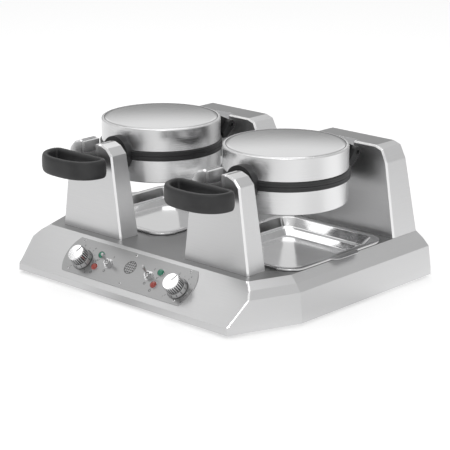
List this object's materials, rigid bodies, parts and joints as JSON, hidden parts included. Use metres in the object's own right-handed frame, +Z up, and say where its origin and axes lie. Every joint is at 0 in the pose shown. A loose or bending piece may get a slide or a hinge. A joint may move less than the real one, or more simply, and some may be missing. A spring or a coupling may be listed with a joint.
{
  "type": "double rotary waffle maker",
  "caption": "Counter-top waffle maker with round heads that open and flip in towers over lift-out drip trays, on a flared steel base with a sloping control panel.",
  "frame": {"origin": "on the counter, under the middle of the whole machine's box", "axes": "+X to the operator's right, -Y towards the operator (control panel side), +Z up"},
  "size_m": [0.6088, 0.494, 0.2637],
  "materials": {
    "brushed_steel": "fine brushed grain",
    "panel_steel": "brushed, slightly darker",
    "polished_steel": "drawn and lightly brushed round the side",
    "tray_steel": "polished",
    "bright_metal": "bright",
    "knob_metal": "turned and knurled",
    "black_plastic": "satin, heat resistant",
    "black_casting": "satin black",
    "grid_iron": "non-stick coated",
    "element_sheath": "heat darkened",
    "rubber": "matt",
    "bronze": "sintered",
    "thermostat_metal": "plain",
    "circuit_board": "lacquered",
    "terminal_plastic": "moulded",
    "green_lens": "clear domed",
    "red_lens": "clear domed"
  },
  "bodies": {
    "base": {"base_shell": "brushed_steel", "bottom_plate": "brushed_steel", "rubber_feet": "rubber", "foot_screws": "bright_metal", "control_panel": "panel_steel", "panel_screws": "bright_metal", "front_tower_left": "brushed_steel", "front_tower_right": "brushed_steel", "rear_tower_left": "brushed_steel", "rear_tower_right": "brushed_steel", "rear_covers": "brushed_steel", "cover_screws": "bright_metal", "front_cradles": "bright_metal", "rear_bearings": "bronze", "cord_gland": "black_plastic", "control_board": "circuit_board", "terminal_block": "terminal_plastic", "switch_bodies": "bright_metal", "switch_nuts": "bright_metal", "thermostats": "thermostat_metal", "ready_lamps": "green_lens", "power_lamps": "red_lens"},
    "head_left": {"lower_housing_left": "polished_steel", "lower_ring_left": "black_plastic", "lower_grid_left": "grid_iron", "lower_element_left": "element_sheath", "lower_journal_left": "black_casting", "hinge_bracket_left": "black_casting", "hinge_pin_left": "bright_metal", "rear_spindle_left": "bright_metal"},
    "lid_left": {"upper_housing_left": "polished_steel", "upper_ring_left": "black_plastic", "upper_grid_left": "grid_iron", "upper_element_left": "element_sheath", "upper_journal_left": "black_casting", "hinge_arm_left": "black_casting", "handle_left": "black_plastic"},
    "knob_left": {"knob_left": "knob_metal"},
    "switch_lever_left": {"toggle_lever_left": "bright_metal"},
    "tray_left": {"drip_tray_left": "tray_steel"},
    "head_right": {"lower_housing_right": "polished_steel", "lower_ring_right": "black_plastic", "lower_grid_right": "grid_iron", "lower_element_right": "element_sheath", "lower_journal_right": "black_casting", "hinge_bracket_right": "black_casting", "hinge_pin_right": "bright_metal", "rear_spindle_right": "bright_metal"},
    "lid_right": {"upper_housing_right": "polished_steel", "upper_ring_right": "black_plastic", "upper_grid_right": "grid_iron", "upper_element_right": "element_sheath", "upper_journal_right": "black_casting", "hinge_arm_right": "black_casting", "handle_right": "black_plastic"},
    "knob_right": {"knob_right": "knob_metal"},
    "switch_lever_right": {"toggle_lever_right": "bright_metal"},
    "tray_right": {"drip_tray_right": "tray_steel"}
  },
  "joints": [
    {"name": "head_turn_left", "type": "hinge", "parent": "base", "child": "head_left", "pos_m": [-0.151, 0.014, 0.2116], "axis": [0, 1, 0], "range_deg": [-180, 0]},
    {"name": "lid_open_left", "type": "hinge", "parent": "head_left", "child": "lid_left", "pos_m": [-0.151, 0.154, 0.227], "axis": [-1, 0, 0], "range_deg": [0, 95]},
    {"name": "knob_turn_left", "type": "hinge", "parent": "base", "child": "knob_left", "pos_m": [-0.117, -0.21702, 0.04608], "axis": [0, -0.6901, 0.7237], "range_deg": [-110, 160]},
    {"name": "switch_flip_left", "type": "hinge", "parent": "base", "child": "switch_lever_left", "pos_m": [-0.056, -0.21735, 0.05613], "axis": [1, 0, 0], "range_deg": [0, 24]},
    {"name": "tray_lift_left", "type": "slide", "parent": "base", "child": "tray_left", "axis": [0, 0, 1], "range_m": [0, 0.05]},
    {"name": "head_turn_right", "type": "hinge", "parent": "base", "child": "head_right", "pos_m": [0.151, 0.014, 0.2116], "axis": [0, 1, 0], "range_deg": [-180, 0]},
    {"name": "lid_open_right", "type": "hinge", "parent": "head_right", "child": "lid_right", "pos_m": [0.151, 0.154, 0.227], "axis": [-1, 0, 0], "range_deg": [0, 95]},
    {"name": "knob_turn_right", "type": "hinge", "parent": "base", "child": "knob_right", "pos_m": [0.116, -0.21702, 0.04608], "axis": [0, -0.6901, 0.7237], "range_deg": [-110, 160]},
    {"name": "switch_flip_right", "type": "hinge", "parent": "base", "child": "switch_lever_right", "pos_m": [0.0435, -0.21735, 0.05613], "axis": [1, 0, 0], "range_deg": [0, 24]},
    {"name": "tray_lift_right", "type": "slide", "parent": "base", "child": "tray_right", "axis": [0, 0, 1], "range_m": [0, 0.05]}
  ]
}
